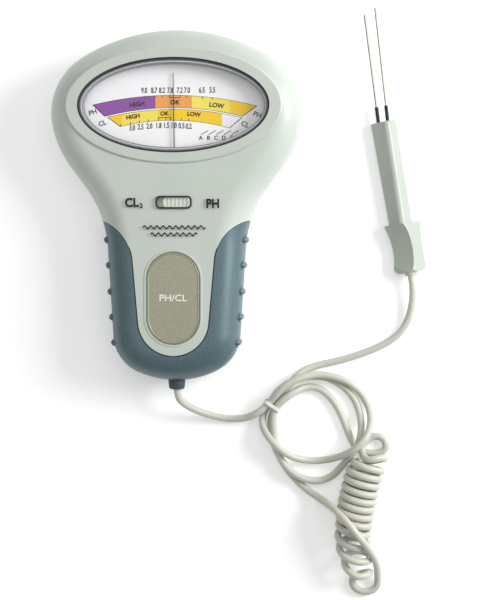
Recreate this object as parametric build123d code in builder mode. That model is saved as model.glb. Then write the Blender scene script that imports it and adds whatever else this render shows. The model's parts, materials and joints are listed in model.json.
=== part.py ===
from build123d import *
import os
from math import cos, pi, radians, sin, tan

# Digital water tester: a dial meter with a soft grip and a two-electrode probe on a long cord.
# Millimetres. The tester lies on its back on z = 0, its front faces +Z and its head points to +Y.
# The origin is on the flat rest face, straight under the needle's pivot.

os.makedirs("parts", exist_ok=True)

# ---------------------------------------------------------------- driving dimensions
HEAD_TOP_Y = 69.2          # crown of the head
CROWN_R, CROWN_TURN = 88.0, 32.0
SHOULDER_R, SHOULDER_TURN = 32.0, 70.0
CHEEK_R, CHEEK_TURN = 50.0, 24.5
NECK_RUN = 13.0
WAIST_R, WAIST_TURN = 56.0, 33.0
FLANK_RUN = 43.5
CORNER_R, CORNER_TURN = 20.5, 62.5

FRONT_Z = 31.0             # front panel
PARTING_Z = 14.5           # joint between front shell and rear cover
FRONT_ROUND = 13.0         # roundness of the front edge
REAR_ROUND = 7.0
PARTING_CHAMFER = 0.3
WALL = 3.0
GRIP_DEPTH = 1.3           # thickness of the overmould
SEAM_GAP = 0.3

WINDOW_Y = 31.8            # centre of the oval window
BEZEL_RX, BEZEL_RY = 53.0, 28.3
BEZEL_Z = 32.0
OPENING_RX, OPENING_RY = 46.9, 23.1
GASKET_W = 0.9

DIAL_Z = 23.2              # printed face of the dial plate
DIAL_RX, DIAL_RY = 55.0, 25.5
DIAL_T = 1.2
NEEDLE_LEN = 47.8
NEEDLE_Z = 24.0

BADGE_Y, BADGE_L, BADGE_W = -62.0, 45.0, 26.1
SLOT_X, SLOT_Y = 0.3, -15.4
SLOT_L, SLOT_W = 17.0, 5.6
SLIDE_TRAVEL = 3.0

CORD_D = 3.6
CORD_EXIT_Y = -107.3
CEILING_Z = FRONT_Z - WALL


def write(piece, name):
    """Label one finished piece and write its STEP file."""
    piece.label = name
    export_step(piece, f"parts/{name}.step")


# ---------------------------------------------------------------- body outline
with BuildLine() as outline_edge:
    crown = JernArc((0, HEAD_TOP_Y), (1, 0), CROWN_R, -CROWN_TURN)
    shoulder = JernArc(crown @ 1, crown % 1, SHOULDER_R, -SHOULDER_TURN)
    cheek = JernArc(shoulder @ 1, shoulder % 1, CHEEK_R, -CHEEK_TURN)
    neck = Line(cheek @ 1, (cheek @ 1) + (cheek % 1) * NECK_RUN)
    waist = JernArc(neck @ 1, neck % 1, WAIST_R, WAIST_TURN)
    flank = Line(waist @ 1, (waist @ 1) + (waist % 1) * FLANK_RUN)
    corner = JernArc(flank @ 1, flank % 1, CORNER_R, -CORNER_TURN)
    heel_turn = 180 - (CROWN_TURN + SHOULDER_TURN + CHEEK_TURN - WAIST_TURN + CORNER_TURN)
    heel_r = (corner @ 1).X / sin(radians(heel_turn))
    heel = JernArc(corner @ 1, corner % 1, heel_r, -heel_turn)
    mirror(about=Plane.YZ)
with BuildSketch() as body_outline:
    make_face(outline_edge.edges())
HEEL_Y = (heel @ 1).Y


def front_block(inset, low=PARTING_Z):
    """The front half's shape, moved in by inset, with its front edge rounded."""
    with BuildPart() as block:
        with BuildSketch(Plane.XY.offset(low)):
            add(body_outline.sketch)
            offset(amount=-inset)
        extrude(amount=FRONT_Z - inset - low)
        fillet(block.faces().sort_by(Axis.Z)[-1].edges(), FRONT_ROUND - inset)
    return block.part


def rear_block(inset):
    """The rear half's shape, moved in by inset, with its rear edge rounded."""
    with BuildPart() as block:
        with BuildSketch(Plane.XY.offset(inset)):
            add(body_outline.sketch)
            offset(amount=-inset)
        extrude(amount=PARTING_Z - inset)
        fillet(block.faces().sort_by(Axis.Z)[0].edges(), REAR_ROUND - inset)
    return block.part


def outer_block(block, at_top):
    """Break the outer edge at the parting plane, which leaves a fine joint line."""
    with BuildPart() as shape:
        add(block)
        face = shape.faces().sort_by(Axis.Z)[-1 if at_top else 0]
        chamfer(face.edges(), PARTING_CHAMFER)
    return shape.part


front_outer = outer_block(front_block(0), False)
rear_outer = outer_block(rear_block(0), True)
front_core = front_block(GRIP_DEPTH)
rear_core = rear_block(GRIP_DEPTH)
front_cavity = front_block(WALL)
rear_cavity = rear_block(WALL)

# ---------------------------------------------------------------- grip area
SEAM_LOW_Y = -90.3
SEAM_R, SEAM_TURN = 17.5, 85.0
SEAM_RUN = 31.0
SEAM_FLARE_R, SEAM_FLARE_TURN = 22.0, 74.0
OUTSIDE_X, OUTSIDE_Y = 48.0, -112.0

with BuildLine() as seam_edge:
    seam_low = JernArc((0, SEAM_LOW_Y), (1, 0), SEAM_R, SEAM_TURN)
    seam_side = Line(seam_low @ 1, (seam_low @ 1) + (seam_low % 1) * SEAM_RUN)
    seam_flare = JernArc(seam_side @ 1, seam_side % 1, SEAM_FLARE_R, -SEAM_FLARE_TURN)
    seam_out = Line(seam_flare @ 1, (OUTSIDE_X, (seam_flare @ 1).Y + 1.5))
    Line(seam_out @ 1, (OUTSIDE_X, OUTSIDE_Y))
    Line((OUTSIDE_X, OUTSIDE_Y), (0, OUTSIDE_Y))
    Line((0, OUTSIDE_Y), (0, SEAM_LOW_Y))
with BuildSketch() as grip_area:
    make_face(seam_edge.edges())
    mirror(about=Plane.YZ)


def grip_layer(core, low, high, gap):
    """The overmould's space: the grip area outside the core, with a gap along its seam."""
    with BuildPart() as layer:
        with BuildSketch(Plane.XY.offset(low)):
            add(grip_area.sketch)
            offset(amount=-gap)
        extrude(amount=high - low)
        add(core, mode=Mode.SUBTRACT)
    return layer.part


front_pocket = grip_layer(front_core, PARTING_Z, FRONT_Z + 1, 0)
front_fill = grip_layer(front_core, PARTING_Z, FRONT_Z + 1, SEAM_GAP)
rear_pocket = grip_layer(rear_core, -1, PARTING_Z, 0)
rear_fill = grip_layer(rear_core, -1, PARTING_Z, SEAM_GAP)

# Knobs down both sides of the grip, one row of upright bars with round ends.
KNOB_R = 1.7
KNOB_YS = [-33.5, -46.0, -59.0, -71.5, -84.0]
KNOB_LOW, KNOB_HIGH = 8.5, 20.5
KNOB_STEP = 12.6


def half_width(y):
    """Half the body's width where the grip's knobs stand."""
    row = Edge.make_line((0, y, 0), (80, y, 0))
    inside = body_outline.face() & row
    return inside.bounding_box().max.X


def knobs(low, high, round_top):
    """The knobs' bars between two heights, each with one round end."""
    with BuildPart() as bars:
        for y in KNOB_YS:
            x = half_width(y) - 0.35
            for side in (-1, 1):
                with BuildSketch(Plane.XY.offset(low)):
                    with Locations((side * x, y)):
                        Circle(KNOB_R)
                extrude(amount=high - low)
                with Locations((side * x, y, high if round_top else low)):
                    Sphere(KNOB_R)
    return bars.part


front_knobs = knobs(PARTING_Z + PARTING_CHAMFER, KNOB_HIGH, True)
rear_knobs = knobs(KNOB_LOW, PARTING_Z - PARTING_CHAMFER, False)

# ---------------------------------------------------------------- screw and boss places
CASE_SCREWS = [(28, 59), (-28, 59), (48, 6), (-48, 6), (20, -82), (-20, -82)]
DIAL_SCREWS = [(52.5, 30), (-52.5, 30)]
MOVE_SCREWS = [(19, 0), (-19, 0)]
BOARD_SCREWS = [(15, -28), (-15, -28), (0, -66)]
CLAMP_SCREWS = [(6.5, -92), (-6.5, -92)]
BOSS_R, PILOT_R = 3.2, 1.2
SMALL_BOSS_R, SMALL_PILOT_R = 2.4, 0.9
MOVE_BASE_Z = 6.6
BOARD_Z, BOARD_T = 18.4, 1.6
NECK_R = 3.4


def column(places, low, high, radius):
    """Upright round columns at some places."""
    with BuildPart() as columns:
        with BuildSketch(Plane.XY.offset(low)):
            with Locations(places):
                Circle(radius)
        extrude(amount=high - low)
    return columns.part


def cord_hole(radius, low_y, high_y):
    """A round rod along Y through the handle's end, at the parting plane."""
    with BuildPart() as rod:
        with BuildSketch(Plane.XZ.offset(-high_y)):
            with Locations((0, PARTING_Z)):
                Circle(radius)
        extrude(amount=high_y - low_y)
    return rod.part


neck_hole = cord_hole(NECK_R + 0.1, OUTSIDE_Y, HEEL_Y + 5)

# ---------------------------------------------------------------- front shell
BOSS_TOP = CEILING_Z + 0.5
bosses = [
    column(CASE_SCREWS, PARTING_Z, BOSS_TOP, BOSS_R),
    column(DIAL_SCREWS, DIAL_Z, BOSS_TOP, SMALL_BOSS_R),
    column(MOVE_SCREWS, MOVE_BASE_Z, BOSS_TOP, SMALL_BOSS_R),
    column(BOARD_SCREWS, BOARD_Z + BOARD_T, BOSS_TOP, SMALL_BOSS_R),
    column(CLAMP_SCREWS, PARTING_Z, BOSS_TOP, SMALL_BOSS_R),
]
pilots = [
    column(CASE_SCREWS, PARTING_Z, PARTING_Z + 9.5, PILOT_R),
    column(DIAL_SCREWS, DIAL_Z, DIAL_Z + 3.4, SMALL_PILOT_R),
    column(MOVE_SCREWS, MOVE_BASE_Z, MOVE_BASE_Z + 9, SMALL_PILOT_R),
    column(BOARD_SCREWS, BOARD_Z + BOARD_T, BOARD_Z + 7.6, SMALL_PILOT_R),
    column(CLAMP_SCREWS, PARTING_Z, PARTING_Z + 7, SMALL_PILOT_R),
]
with BuildPart() as inner_bosses:
    for boss in bosses:
        add(boss)
    with Locations((0, CLAMP_SCREWS[0][1], (PARTING_Z + CORD_D / 2 + BOSS_TOP) / 2)):
        Box(5, 2, BOSS_TOP - PARTING_Z - CORD_D / 2)
    add(front_block(WALL / 2, MOVE_BASE_Z), mode=Mode.INTERSECT)

with BuildPart() as front_shell:
    add(front_outer)
    with BuildSketch(Plane.XY.offset(CEILING_Z)):
        with Locations((0, WINDOW_Y)):
            Ellipse(BEZEL_RX, BEZEL_RY)
    extrude(amount=BEZEL_Z - CEILING_Z)
    top_face = front_shell.faces().sort_by(Axis.Z)[-1]
    fillet(top_face.edges(), 0.9)
    with BuildSketch(Plane.XY.offset(FRONT_Z - 1)):
        with Locations((0, BADGE_Y)):
            SlotOverall(BADGE_L + 2.4, BADGE_W + 2.4, rotation=90)
    extrude(amount=1.3)
    fillet(front_shell.edges().filter_by(lambda e: abs(e.center().Z - FRONT_Z - 0.3) < 1e-3), 0.25)
    add(front_pocket, mode=Mode.SUBTRACT)
    add(front_cavity, mode=Mode.SUBTRACT)
    add(inner_bosses.part)
    for pilot in pilots:
        add(pilot, mode=Mode.SUBTRACT)
    with BuildSketch(Plane.XY.offset(CEILING_Z - 4)):
        with Locations((0, WINDOW_Y)):
            Ellipse(OPENING_RX, OPENING_RY)
    extrude(amount=BEZEL_Z - CEILING_Z + 5, mode=Mode.SUBTRACT)
    with BuildSketch(Plane.XY.offset(CEILING_Z - 1)):
        with Locations((SLOT_X, SLOT_Y)):
            RectangleRounded(SLOT_L, SLOT_W, 1.9)
    extrude(amount=WALL + 2, mode=Mode.SUBTRACT)
    slot_rim = front_shell.edges().filter_by(
        lambda e: abs(e.center().Z - FRONT_Z) < 1e-3 and abs(e.center().Y - SLOT_Y) < 3.2
        and abs(e.center().X - SLOT_X) < 9)
    chamfer(slot_rim, 0.35)
    with BuildSketch(Plane.XY.offset(FRONT_Z - 0.9)):
        with Locations((0, BADGE_Y)):
            SlotOverall(BADGE_L + 0.5, BADGE_W + 0.5, rotation=90)
    extrude(amount=2, mode=Mode.SUBTRACT)
    add(neck_hole, mode=Mode.SUBTRACT)
write(front_shell.part, "front_shell")

# ---------------------------------------------------------------- rear cover
HEAD_SINK_Z = 4.0          # depth of the case screws' counterbores
rear_hollow = rear_cavity - column(CASE_SCREWS, 0, PARTING_Z, BOSS_R + 0.8)
with BuildPart() as rear_cover:
    add(rear_outer)
    add(rear_pocket, mode=Mode.SUBTRACT)
    add(rear_hollow, mode=Mode.SUBTRACT)
    add(column(CASE_SCREWS, -1, HEAD_SINK_Z, 3.0), mode=Mode.SUBTRACT)
    add(column(CASE_SCREWS, -1, PARTING_Z + 1, 1.6), mode=Mode.SUBTRACT)
    add(neck_hole, mode=Mode.SUBTRACT)
write(rear_cover.part, "rear_cover")

# ---------------------------------------------------------------- grips
with BuildPart() as front_grip:
    add(front_outer)
    add(front_fill, mode=Mode.INTERSECT)
    add(front_knobs - front_core)
    add(neck_hole, mode=Mode.SUBTRACT)
write(front_grip.part, "front_grip")

with BuildPart() as rear_grip:
    add(rear_outer)
    add(rear_fill, mode=Mode.INTERSECT)
    add(rear_knobs - rear_core)
    add(neck_hole, mode=Mode.SUBTRACT)
write(rear_grip.part, "rear_grip")

# ---------------------------------------------------------------- window and dial
def oval_ring(rx, ry, width, low, high):
    """An upright oval ring around the window's centre."""
    with BuildPart() as ring:
        with BuildSketch(Plane.XY.offset(low)):
            with Locations((0, WINDOW_Y)):
                Ellipse(rx, ry)
                Ellipse(rx - width, ry - width, mode=Mode.SUBTRACT)
        extrude(amount=high - low)
    return ring.part


LENS_LOW, LENS_T = 28.5, 1.6
lens_gasket = oval_ring(OPENING_RX - 0.02, OPENING_RY - 0.02, GASKET_W, LENS_LOW, FRONT_Z + 0.2)
write(lens_gasket, "lens_gasket")

LENS_RX, LENS_RY = OPENING_RX - GASKET_W - 0.05, OPENING_RY - GASKET_W - 0.05
with BuildPart() as window_lens:
    with BuildSketch(Plane.XY.offset(LENS_LOW)):
        with Locations((0, WINDOW_Y)):
            Ellipse(LENS_RX, LENS_RY)
    extrude(amount=LENS_T)
    chamfer(window_lens.faces().sort_by(Axis.Z)[-1].edges(), 0.3)
write(window_lens.part, "window_lens")

SURROUND_TOP = LENS_LOW - 0.05
SURROUND_LOW = 25.3
with BuildPart() as dial_surround:
    with BuildSketch(Plane.XY.offset(SURROUND_LOW)):
        with Locations((0, WINDOW_Y)):
            Ellipse(OPENING_RX - 0.1, OPENING_RY - 0.1)
    extrude(amount=SURROUND_TOP - SURROUND_LOW)
    with BuildSketch(Plane.XY.offset(SURROUND_LOW)):
        with Locations((0, WINDOW_Y)):
            Ellipse(44.0, 20.2)
    with BuildSketch(Plane.XY.offset(SURROUND_TOP)):
        with Locations((0, WINDOW_Y)):
            Ellipse(LENS_RX - 0.3, LENS_RY - 0.3)
    loft(mode=Mode.SUBTRACT)
write(dial_surround.part, "dial_surround")

with BuildPart() as dial_plate:
    with BuildSketch(Plane.XY.offset(DIAL_Z - DIAL_T)):
        with Locations((0, WINDOW_Y)):
            Ellipse(DIAL_RX, DIAL_RY)
        with Locations(DIAL_SCREWS):
            Circle(3.6)
            Circle(1.1, mode=Mode.SUBTRACT)
    extrude(amount=DIAL_T)
write(dial_plate.part, "dial_plate")


def screws(places, seat_z, head_r, head_h, shank_r, length):
    """Cross-head screws driven up from below, their heads under seat_z."""
    with BuildPart() as group:
        for x, y in places:
            with BuildSketch(Plane.XY.offset(seat_z - head_h)):
                with Locations((x, y)):
                    Circle(head_r)
            extrude(amount=head_h)
            with BuildSketch(Plane.XY.offset(seat_z)):
                with Locations((x, y)):
                    Circle(shank_r)
            extrude(amount=length)
        for x, y in places:
            with BuildSketch(Plane.XY.offset(seat_z - head_h)):
                with Locations((x, y)):
                    Rectangle(head_r * 1.2, head_r * 0.3)
                    Rectangle(head_r * 0.3, head_r * 1.2)
            extrude(amount=head_h * 0.5, mode=Mode.SUBTRACT)
    return group.part


write(screws(CASE_SCREWS, HEAD_SINK_Z, 2.7, 2.0, PILOT_R - 0.02, 18.5), "case_screws")
write(screws(DIAL_SCREWS, DIAL_Z - DIAL_T, 1.9, 1.3, SMALL_PILOT_R - 0.02, 4.0), "dial_screws")

with BuildPart() as badge:
    with BuildSketch(Plane.XY.offset(FRONT_Z - 0.9)):
        with Locations((0, BADGE_Y)):
            SlotOverall(BADGE_L, BADGE_W, rotation=90)
    extrude(amount=0.7)
    chamfer(badge.faces().sort_by(Axis.Z)[-1].edges(), 0.15)
write(badge.part, "badge")

# ---------------------------------------------------------------- meter movement
RING_OUT_R, RING_IN_R, RING_TOP = 13.5, 10.6, 18.0
CORE_R, CORE_LOW, CORE_TOP = 7.0, 9.6, 16.6
BASE_T = 1.6
BRIDGE_LOW, BRIDGE_T = 25.4, 1.6
POST_X = (RING_OUT_R + RING_IN_R) / 2
SHAFT_R, TIP_R = 0.6, 0.35
COIL_W = 5.2               # coil's width across the loop

with BuildPart() as movement_base:
    with BuildSketch(Plane.XY.offset(MOVE_BASE_Z - BASE_T)):
        Circle(RING_OUT_R + 1)
        SlotOverall(2 * MOVE_SCREWS[0][0] + 8, 8)
        with Locations(MOVE_SCREWS):
            Circle(1.1, mode=Mode.SUBTRACT)
        Circle(1.5, mode=Mode.SUBTRACT)
    extrude(amount=BASE_T)
write(movement_base.part, "movement_base")
write(screws(MOVE_SCREWS, MOVE_BASE_Z - BASE_T, 1.9, 1.3, SMALL_PILOT_R - 0.02, 9.0), "movement_screws")

with BuildPart() as yoke_ring:
    with BuildSketch(Plane.XY.offset(MOVE_BASE_Z)):
        Circle(RING_OUT_R)
        Circle(RING_IN_R, mode=Mode.SUBTRACT)
    extrude(amount=RING_TOP - MOVE_BASE_Z)
write(yoke_ring.part, "yoke_ring")

with BuildPart() as magnet_core:
    with BuildSketch(Plane.XY.offset(CORE_LOW)):
        Circle(CORE_R)
    extrude(amount=CORE_TOP - CORE_LOW)
    chamfer(magnet_core.edges().filter_by(GeomType.CIRCLE), 0.3)
write(magnet_core.part, "magnet_core")

with BuildPart() as core_clamps:
    with BuildSketch(Plane.XY.offset(CORE_LOW + 1.5)):
        Circle(RING_IN_R)
        Circle(CORE_R, mode=Mode.SUBTRACT)
        Rectangle(3.4, 2 * RING_OUT_R, mode=Mode.INTERSECT)
    extrude(amount=CORE_TOP - CORE_LOW - 3)
write(core_clamps.part, "core_clamps")

with BuildPart() as upper_bridge:
    with BuildSketch(Plane.XY.offset(BRIDGE_LOW)):
        SlotOverall(2 * POST_X + 5, 4.8)
        Circle(1.25, mode=Mode.SUBTRACT)
    extrude(amount=BRIDGE_T)
    with BuildSketch(Plane.XY.offset(RING_TOP)):
        with Locations((POST_X, 0), (-POST_X, 0)):
            Circle(1.2)
    extrude(amount=BRIDGE_LOW - RING_TOP)
write(upper_bridge.part, "upper_bridge")

with BuildPart() as bearing_screws:
    with BuildSketch(Plane.XY.offset(BRIDGE_LOW - 0.3)):
        Circle(1.2)
    extrude(amount=BRIDGE_T + 0.7)
    with BuildSketch(Plane.XY.offset(BRIDGE_LOW - 0.3)):
        Circle(TIP_R + 0.06)
    extrude(amount=1.2, mode=Mode.SUBTRACT)
    with BuildSketch(Plane.XY.offset(MOVE_BASE_Z - BASE_T - 0.6)):
        Circle(1.45)
    extrude(amount=BASE_T + 0.6)
    with BuildSketch(Plane.XY.offset(MOVE_BASE_Z - 1.4)):
        Circle(TIP_R + 0.06)
    extrude(amount=1.4, mode=Mode.SUBTRACT)
write(bearing_screws.part, "bearing_screws")


def coil_loop(inner_x, outer_x, inner_z, outer_z, width):
    """An upright rectangular loop around the core, about its middle height."""
    middle = (CORE_LOW + CORE_TOP) / 2
    with BuildPart() as loop:
        with BuildSketch(Plane.XZ.offset(-width / 2)):
            with Locations((0, middle)):
                RectangleRounded(2 * outer_x, 2 * outer_z, 0.8)
                Rectangle(2 * inner_x, 2 * inner_z, mode=Mode.SUBTRACT)
        extrude(amount=width)
    return loop.part


FRAME_X, FRAME_Z = 8.2, 4.7
COIL_X, COIL_Z = 9.6, 5.6
write(coil_loop(7.7, FRAME_X, 4.2, FRAME_Z, COIL_W), "coil_frame")
write(coil_loop(FRAME_X, COIL_X, FRAME_Z, COIL_Z, COIL_W - 1), "coil_winding")
COIL_TOP = (CORE_LOW + CORE_TOP) / 2 + COIL_Z
COIL_LOW = (CORE_LOW + CORE_TOP) / 2 - COIL_Z

with BuildPart() as pivot_pins:
    with BuildSketch(Plane.XY.offset(COIL_TOP)):
        Circle(SHAFT_R)
    extrude(amount=BRIDGE_LOW - 0.5 - COIL_TOP)
    with BuildSketch(Plane.XY.offset(BRIDGE_LOW - 0.5)):
        Circle(TIP_R)
    extrude(amount=1.2)
    with BuildSketch(Plane.XY.offset(MOVE_BASE_Z + 0.2)):
        Circle(SHAFT_R)
    extrude(amount=COIL_LOW - MOVE_BASE_Z - 0.2)
    with BuildSketch(Plane.XY.offset(MOVE_BASE_Z - 1.2)):
        Circle(TIP_R)
    extrude(amount=1.4)
write(pivot_pins.part, "pivot_pins")

NEEDLE_TILT = 0.9          # the needle rests this far to the left of the middle
NEEDLE_T = 0.35
NEEDLE_ROOT, NEEDLE_TIP = 0.28, 0.17    # half widths
TAIL_LEN = 5.4
with BuildPart() as needle:
    with BuildSketch(Plane.XY.offset(NEEDLE_Z)):
        with BuildLine():
            Polyline((-NEEDLE_ROOT, 1.0), (-NEEDLE_TIP, NEEDLE_LEN), (NEEDLE_TIP, NEEDLE_LEN),
                     (NEEDLE_ROOT, 1.0), close=True)
        make_face()
        with Locations((0, -TAIL_LEN / 2)):
            Rectangle(1.0, TAIL_LEN)
        Rectangle(2 * TAIL_LEN, 0.9)
    extrude(amount=NEEDLE_T)
    with BuildSketch(Plane.XY.offset(NEEDLE_Z - 0.4)):
        Circle(1.6)
    extrude(amount=1.2)
    with BuildSketch(Plane.XY.offset(NEEDLE_Z - 1)):
        Circle(SHAFT_R)
    extrude(amount=3, mode=Mode.SUBTRACT)
write(needle.part.rotate(Axis.Z, NEEDLE_TILT), "needle")

with BuildPart() as balance_weights:
    with BuildSketch(Plane.XY.offset(NEEDLE_Z + NEEDLE_T)):
        with Locations((0, -TAIL_LEN + 0.8), (TAIL_LEN - 0.8, 0), (0.8 - TAIL_LEN, 0)):
            Circle(0.75)
    extrude(amount=0.6)
write(balance_weights.part.rotate(Axis.Z, NEEDLE_TILT), "balance_weights")


def hairspring(low, height):
    """A flat spiral strip of half circles, each wider than the last, with a stud at its end."""
    strip, grow, half_turns = 0.16, 0.45, 7
    with BuildPart() as spring:
        with BuildSketch(Plane.XY.offset(low)):
            radius, centre = 1.4, 0.0
            with BuildLine():
                Line((radius, 0), (radius + strip, 0))
                for half in range(half_turns):
                    start = 0 if half % 2 == 0 else 180
                    outer = CenterArc((centre, 0), radius + strip, start, 180)
                    inner = CenterArc((centre, 0), radius, start, 180)
                    centre += grow / 2 if half % 2 == 0 else -grow / 2
                    radius += grow / 2
                Line(outer @ 1, inner @ 1)
            make_face()
            with Locations(outer @ 1):
                Circle(0.26)
        extrude(amount=height)
    return spring.part


with BuildPart() as hairsprings:
    add(hairspring(21.4, 0.7))
    add(hairspring(MOVE_BASE_Z + 0.1, 0.6))
write(hairsprings.part, "hairsprings")

STOP_R, STOP_TURN = 14.0, 54.5
with BuildPart() as needle_stops:
    with BuildSketch(Plane.XY.offset(DIAL_Z)):
        with Locations([(s * STOP_R * sin(radians(STOP_TURN)), STOP_R * cos(radians(STOP_TURN)))
                        for s in (-1, 1)]):
            Circle(0.45)
    extrude(amount=1.8)
write(needle_stops.part, "needle_stops")

# ---------------------------------------------------------------- circuit board
BOARD_TOP = BOARD_Z + BOARD_T
with BuildPart() as circuit_board:
    with BuildSketch(Plane.XY.offset(BOARD_Z)):
        with Locations((0, -41)):
            Rectangle(38, 58)
        with Locations(BOARD_SCREWS):
            Circle(1.1, mode=Mode.SUBTRACT)
    extrude(amount=BOARD_T)
write(circuit_board.part, "circuit_board")
write(screws(BOARD_SCREWS, BOARD_Z, 1.9, 1.3, SMALL_PILOT_R - 0.02, 6.5), "board_screws")

SWITCH_TOP = 25.6
with BuildPart() as slide_switch:
    with BuildSketch(Plane.XY.offset(BOARD_TOP)):
        with Locations((SLOT_X, SLOT_Y)):
            Rectangle(19, 6.4)
    extrude(amount=SWITCH_TOP - BOARD_TOP)
    with BuildSketch(Plane.XY.offset(BOARD_TOP + 1.4)):
        with Locations((SLOT_X, SLOT_Y)):
            Rectangle(13, 3.2)
    extrude(amount=SWITCH_TOP, mode=Mode.SUBTRACT)
write(slide_switch.part, "slide_switch")

with BuildPart() as switch_contacts:
    with BuildSketch(Plane.XY.offset(BOARD_Z - 1.2)):
        with Locations([(SLOT_X + step * 4.0, SLOT_Y) for step in (-1, 0, 1)]):
            Rectangle(1.6, 0.6)
    extrude(amount=1.2)
    with BuildSketch(Plane.XY.offset(BOARD_TOP + 1.4)):
        with Locations([(SLOT_X + step * 4.0, SLOT_Y) for step in (-1, 0, 1)]):
            Rectangle(2.6, 1.8)
    extrude(amount=0.3)
write(switch_contacts.part, "switch_contacts")

# The slider rests at the pH end of the slot; its skirt hides the slot's open end.
KNOB_L, KNOB_W = SLOT_L - SLIDE_TRAVEL - 0.3, SLOT_W - 0.5
SLIDER_X = SLOT_X + SLIDE_TRAVEL / 2
SLIDER_TOP = FRONT_Z - 0.35
RIB_COUNT, RIB_STEP = 6, 1.9
with BuildPart() as selector_slider:
    with BuildSketch(Plane.XY.offset(26.5)):
        with Locations((SLIDER_X, SLOT_Y)):
            RectangleRounded(SLOT_L + 5, 8.4, 1.2)
    extrude(amount=1.1)
    with BuildSketch(Plane.XY.offset(27.6)):
        with Locations((SLIDER_X, SLOT_Y)):
            RectangleRounded(KNOB_L, KNOB_W, 1.6)
    extrude(amount=SLIDER_TOP - 27.6)
    fillet(selector_slider.faces().sort_by(Axis.Z)[-1].edges(), 0.35)
    with BuildSketch(Plane.XY.offset(SLIDER_TOP - 0.5)):
        for rib in range(RIB_COUNT):
            with Locations((SLIDER_X + (rib - (RIB_COUNT - 1) / 2) * RIB_STEP, SLOT_Y)):
                Rectangle(0.7, KNOB_W - 1.2)
    extrude(amount=1, mode=Mode.SUBTRACT)
    with BuildSketch(Plane.XY.offset(23.2)):
        with Locations((SLIDER_X, SLOT_Y)):
            Rectangle(5, 2.6)
    extrude(amount=26.5 - 23.2)
write(selector_slider.part, "selector_slider")

with BuildPart() as switch_wiper:
    with BuildSketch(Plane.XY.offset(BOARD_TOP + 2.1)):
        with Locations((SLIDER_X, SLOT_Y)):
            Rectangle(6.4, 2.4)
    extrude(amount=23.2 - BOARD_TOP - 2.1)
write(switch_wiper.part, "switch_wiper")

TRIMMER_PLACES = [(-9, -38), (9, -38)]
with BuildPart() as trimmers:
    with BuildSketch(Plane.XY.offset(BOARD_TOP)):
        with Locations(TRIMMER_PLACES):
            Rectangle(6.5, 6.5)
    extrude(amount=3.6)
    with BuildSketch(Plane.XY.offset(BOARD_TOP + 3.6)):
        with Locations(TRIMMER_PLACES):
            Circle(1.9)
    extrude(amount=0.7)
    with BuildSketch(Plane.XY.offset(BOARD_TOP + 3.9)):
        with Locations(TRIMMER_PLACES):
            Rectangle(3.0, 0.6)
    extrude(amount=1, mode=Mode.SUBTRACT)
write(trimmers.part, "trimmers")

RESISTOR_YS = [-46, -50, -54, -58]
with BuildPart() as resistors:
    for y in RESISTOR_YS:
        with BuildSketch(Plane.YZ.offset(-3)):
            with Locations((y, BOARD_TOP + 1.3)):
                Circle(1.1)
        extrude(amount=6)
        with BuildSketch(Plane.YZ.offset(-5)):
            with Locations((y, BOARD_TOP + 1.3)):
                Circle(0.3)
        extrude(amount=10)
        with BuildSketch(Plane.XY.offset(BOARD_TOP)):
            with Locations((4.7, y), (-4.7, y)):
                Rectangle(0.6, 0.6)
        extrude(amount=1.5)
write(resistors.part, "resistors")

# ---------------------------------------------------------------- cord's entry
STUB_R, STUB_TIP_R = 4.2, 3.7
with BuildPart() as strain_relief:
    with BuildSketch(Plane.YZ) as relief_profile:
        with BuildLine():
            Polyline((HEEL_Y + 5.6, PARTING_Z), (HEEL_Y + 5.6, PARTING_Z + 5.2),
                     (HEEL_Y + 3.7, PARTING_Z + 5.2), (HEEL_Y + 3.7, PARTING_Z + NECK_R),
                     (HEEL_Y - 0.1, PARTING_Z + NECK_R), (HEEL_Y - 0.1, PARTING_Z + STUB_R),
                     (HEEL_Y - 1.6, PARTING_Z + STUB_R), (CORD_EXIT_Y, PARTING_Z + STUB_TIP_R),
                     (CORD_EXIT_Y, PARTING_Z), close=True)
        make_face()
    revolve(axis=Axis((0, 0, PARTING_Z), (0, 1, 0)))
    fillet(strain_relief.edges().filter_by(GeomType.CIRCLE).sort_by(Axis.Y)[0], 1.1)
    with BuildSketch(Plane.XZ.offset(-(HEEL_Y + 6))):
        with Locations((0, PARTING_Z)):
            Circle(CORD_D / 2 + 0.04)
    extrude(amount=14, mode=Mode.SUBTRACT)
write(strain_relief.part, "strain_relief")

ENTRY_Y, ENTRY_END_Y = -88.0, -103.5
with BuildPart() as cord_entry:
    with BuildSketch(Plane.XZ.offset(-ENTRY_Y)):
        with Locations((0, PARTING_Z)):
            Circle(CORD_D / 2)
    extrude(amount=ENTRY_Y - ENTRY_END_Y)
write(cord_entry.part, "cord_entry")

with BuildPart() as cord_clamp:
    with Locations((0, CLAMP_SCREWS[0][1], PARTING_Z - 1.6)):
        Box(18, 5, 3.2)
    with BuildSketch(Plane.XZ.offset(-CLAMP_SCREWS[0][1] - 4)):
        with Locations((0, PARTING_Z)):
            Circle(CORD_D / 2)
    extrude(amount=8, mode=Mode.SUBTRACT)
    with BuildSketch(Plane.XY.offset(PARTING_Z - 5)):
        with Locations(CLAMP_SCREWS):
            Circle(1.1)
    extrude(amount=8, mode=Mode.SUBTRACT)
write(cord_clamp.part, "cord_clamp")
write(screws(CLAMP_SCREWS, PARTING_Z - 3.2, 1.9, 1.3, SMALL_PILOT_R - 0.02, 9.5), "clamp_screws")


def tube(points, diameter, bend_radii):
    """A round tube along straight runs joined by tangent arcs."""
    with BuildPart() as run:
        with BuildLine() as path:
            FilletPolyline(*points, radius=bend_radii)
        with BuildSketch(Plane(path.line @ 0, z_dir=path.line % 0)):
            Circle(diameter / 2)
        sweep()
    return run.part, path.wire().length


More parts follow.
